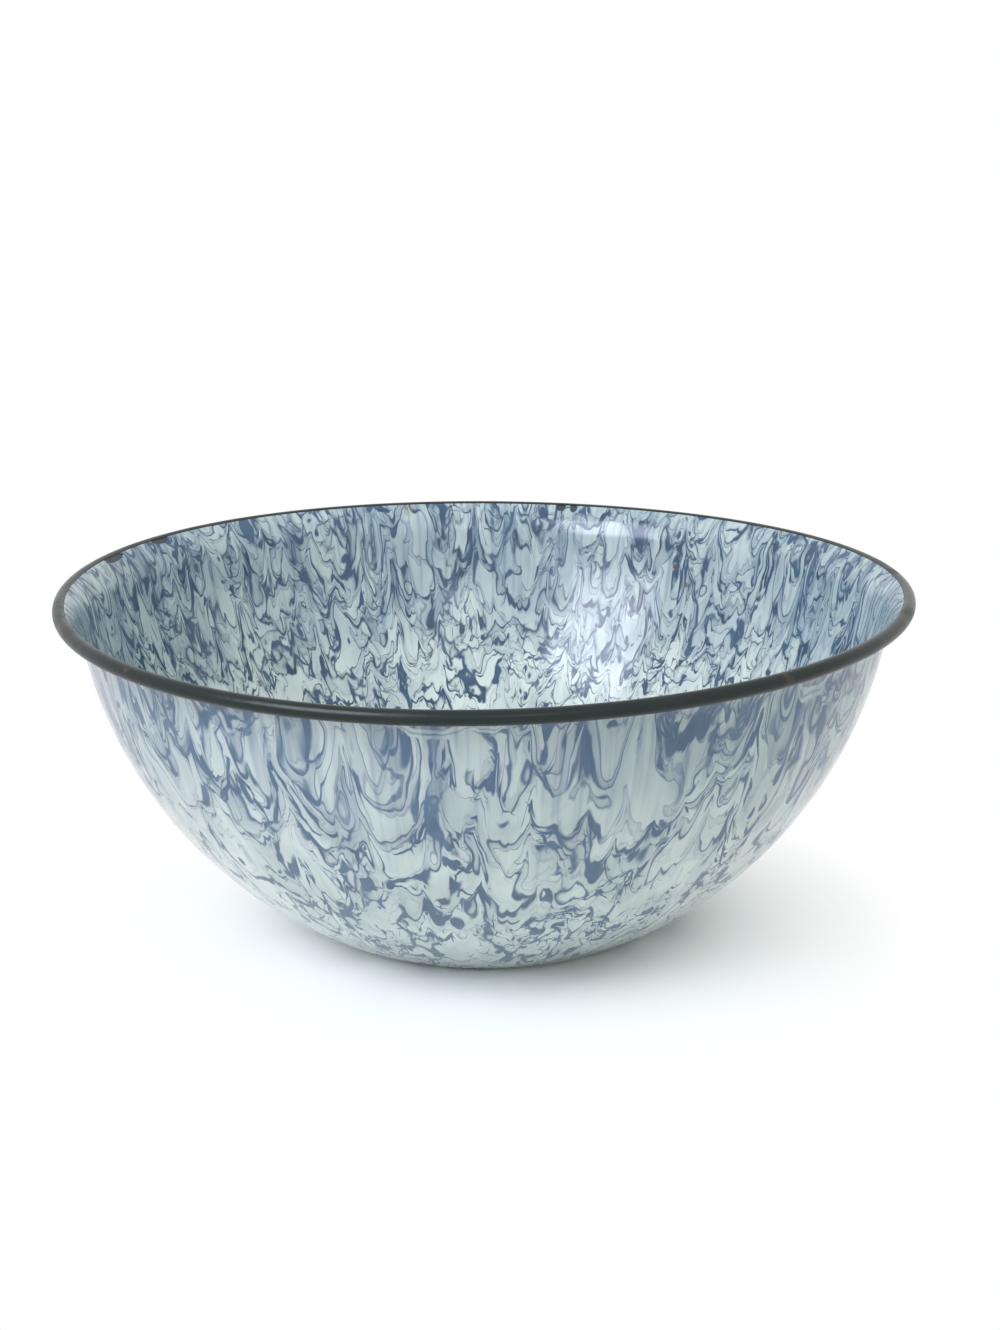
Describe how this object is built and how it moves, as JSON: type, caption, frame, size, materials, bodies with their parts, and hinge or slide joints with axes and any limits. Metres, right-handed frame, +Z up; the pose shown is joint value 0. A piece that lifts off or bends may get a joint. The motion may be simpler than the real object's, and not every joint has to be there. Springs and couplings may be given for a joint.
{
  "type": "mixing bowl",
  "caption": "Round enamelled steel mixing bowl with a small flat base, a deep curved side and a flared lip rolled over a wire, swirled blue on white with a black rim bead.",
  "frame": {"origin": "on the bowl's axis, at the level of the surface that its base stands on", "axes": "+Z up along the bowl's axis; X and Y lie in the plane of the base"},
  "size_m": [0.28, 0.28, 0.1125],
  "materials": {
    "sheet_steel": "drawn sheet steel, covered by the enamel",
    "wire_steel": "drawn wire, inside the rolled rim",
    "ground_coat": "dark fired ground coat, seen only where the swirl is chipped",
    "inner_swirl": "glossy fired enamel, blue veins swirled through white",
    "outer_swirl": "glossy fired enamel, blue veins swirled through white",
    "black_enamel": "glossy black fired enamel, worn along the rim"
  },
  "bodies": {
    "root": {"steel_shell": "sheet_steel", "rim_wire": "wire_steel", "inner_ground_coat": "ground_coat", "outer_ground_coat": "ground_coat", "inner_swirl_enamel": "inner_swirl", "outer_swirl_enamel": "outer_swirl", "rim_bead_enamel": "black_enamel"}
  },
  "joints": []
}
